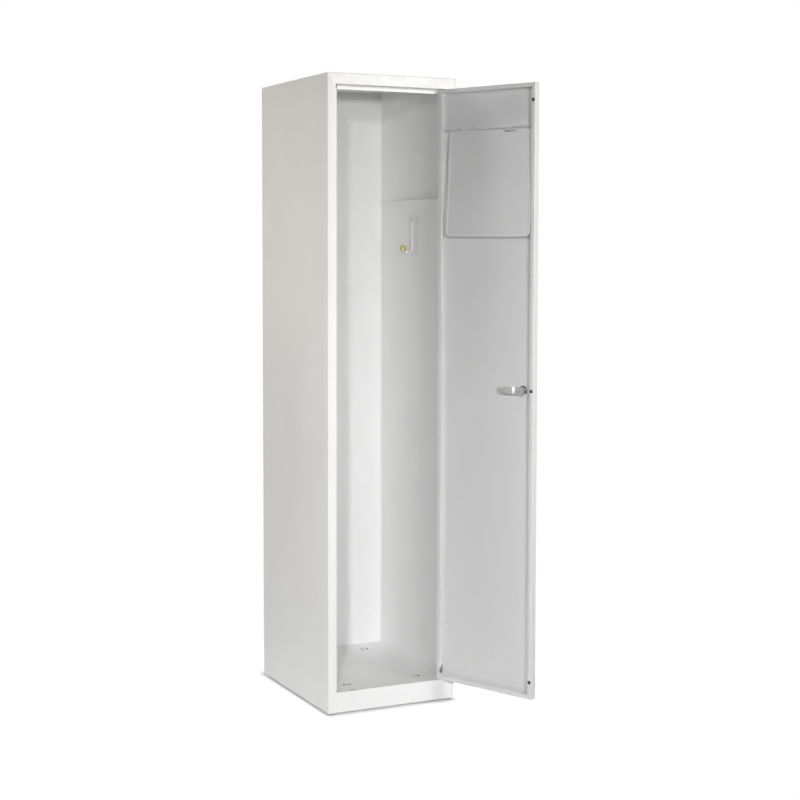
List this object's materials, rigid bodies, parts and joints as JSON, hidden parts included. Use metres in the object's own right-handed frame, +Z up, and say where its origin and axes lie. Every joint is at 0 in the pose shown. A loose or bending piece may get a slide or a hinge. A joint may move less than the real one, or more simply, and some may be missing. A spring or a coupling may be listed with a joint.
{
  "type": "laundry cabinet",
  "caption": "Tall white sheet-steel laundry cabinet with a right-hung swing door, a hanging drop flap inside it, a cam lock, ball-ended bag hooks and shelf bearers.",
  "frame": {"origin": "middle of the underside of the front base runner, on the floor", "axes": "+X to the right seen from the front, +Y to the back (the front faces -Y), +Z up"},
  "size_m": [0.4977, 0.8079, 1.8],
  "materials": {
    "white_powder_coat": "fine-grained satin white powder coat",
    "black_rubber": "matt black rubber",
    "zinc_plate": "dull zinc plating",
    "chrome": "bright nickel or chrome plating",
    "brass": "polished brass",
    "white_plastic": "moulded white plastic",
    "steel": "plain zinc-plated steel"
  },
  "bodies": {
    "carcass": {"left_side_panel": "white_powder_coat", "right_side_panel": "white_powder_coat", "back_panel": "white_powder_coat", "top_panel": "white_powder_coat", "floor_panel": "white_powder_coat", "plinth_rail": "white_powder_coat", "rear_plinth": "white_powder_coat", "front_runner": "white_plastic", "rear_runner": "white_plastic", "left_stile": "white_powder_coat", "right_stile": "white_powder_coat", "top_rail": "white_powder_coat", "left_stop": "white_powder_coat", "top_stop": "white_powder_coat", "bearer_left": "white_powder_coat", "bearer_right": "white_powder_coat", "hook_plate_left": "zinc_plate", "hook_plate_right": "zinc_plate", "hook_rod_left": "chrome", "hook_rod_right": "chrome", "hook_ball_left": "brass", "hook_ball_right": "brass", "lower_pivot_pin": "steel", "upper_pivot_pin": "steel"},
    "door": {"door_skin": "white_powder_coat", "door_hinge_channel": "white_powder_coat", "door_lock_channel": "white_powder_coat", "door_top_channel": "white_powder_coat", "door_bottom_channel": "white_powder_coat", "pivot_block_low": "white_plastic", "pivot_block_top": "white_plastic", "buffer_low": "black_rubber", "buffer_middle": "black_rubber", "buffer_high": "black_rubber", "flap_hinge_rail": "white_powder_coat", "flap_hinge_pin": "steel", "lock_barrel": "chrome", "lock_nut": "steel"},
    "flap": {"drop_flap": "white_powder_coat"},
    "lock_cam": {"lock_plug": "chrome", "lock_cam": "chrome", "cam_screw": "steel"}
  },
  "joints": [
    {"name": "door_hinge", "type": "hinge", "parent": "carcass", "child": "door", "pos_m": [0.163, -0.013, 0.9], "axis": [0, 0, 1], "range_deg": [-112.5, 3]},
    {"name": "flap_hinge", "type": "hinge", "parent": "door", "child": "flap", "pos_m": [0.22336, -0.17233, 1.652], "axis": [-0.3827, 0.9239, 0], "range_deg": [-2.5, 80]},
    {"name": "lock_turn", "type": "hinge", "parent": "door", "child": "lock_cam", "pos_m": [0.27968, -0.2764, 0.9245], "axis": [-0.9239, -0.3827, 0], "range_deg": [0, 180]}
  ]
}
